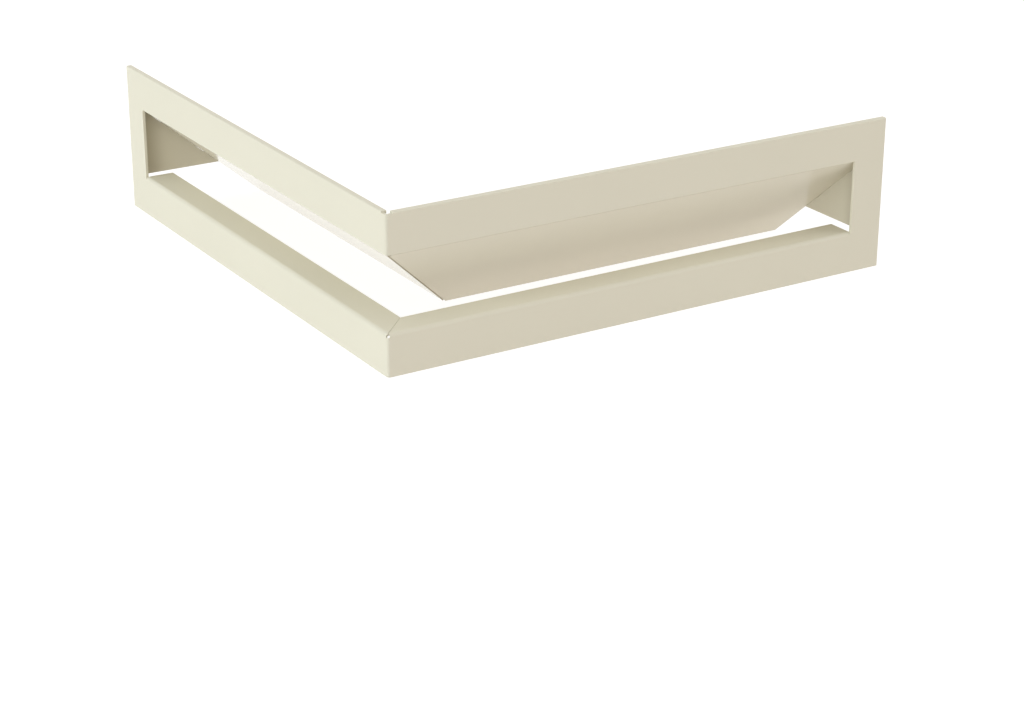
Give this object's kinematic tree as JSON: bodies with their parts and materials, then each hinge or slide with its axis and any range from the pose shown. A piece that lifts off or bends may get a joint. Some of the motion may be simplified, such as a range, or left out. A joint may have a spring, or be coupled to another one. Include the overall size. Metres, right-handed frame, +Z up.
{
  "type": "fireplace vent grille",
  "caption": "Corner vent grille for a chimney breast: a folded L-shaped front with a window round the corner, a lip below it, and sloping deflectors behind it that meet in a mitre.",
  "frame": {"origin": "middle of the square round both legs, on the bottom edge that the grille stands on", "axes": "+Z up; the right wing runs along +X and faces -Y, the left wing runs along +Y and faces -X"},
  "size_m": [0.618, 0.618, 0.17],
  "materials": {
    "cream_coat": "semi-gloss cream powder coat on folded steel sheet",
    "zinc_plate": "bright zinc plate"
  },
  "bodies": {
    "root": {"front_frame": "cream_coat", "deflector_right": "cream_coat", "deflector_left": "cream_coat", "cheek_right": "cream_coat", "cheek_left": "cream_coat", "mitre_strip": "cream_coat", "mitre_studs": "zinc_plate", "mitre_nuts": "zinc_plate", "deflector_studs": "zinc_plate", "deflector_nuts": "zinc_plate", "cheek_studs": "zinc_plate", "cheek_nuts": "zinc_plate", "strap_studs": "zinc_plate", "strap_nuts": "zinc_plate", "strap_top_right_inner": "zinc_plate", "strap_top_right_outer": "zinc_plate", "strap_top_left_inner": "zinc_plate", "strap_top_left_outer": "zinc_plate", "strap_bottom_right_inner": "zinc_plate", "strap_bottom_right_outer": "zinc_plate", "strap_bottom_left_inner": "zinc_plate", "strap_bottom_left_outer": "zinc_plate"}
  },
  "joints": []
}
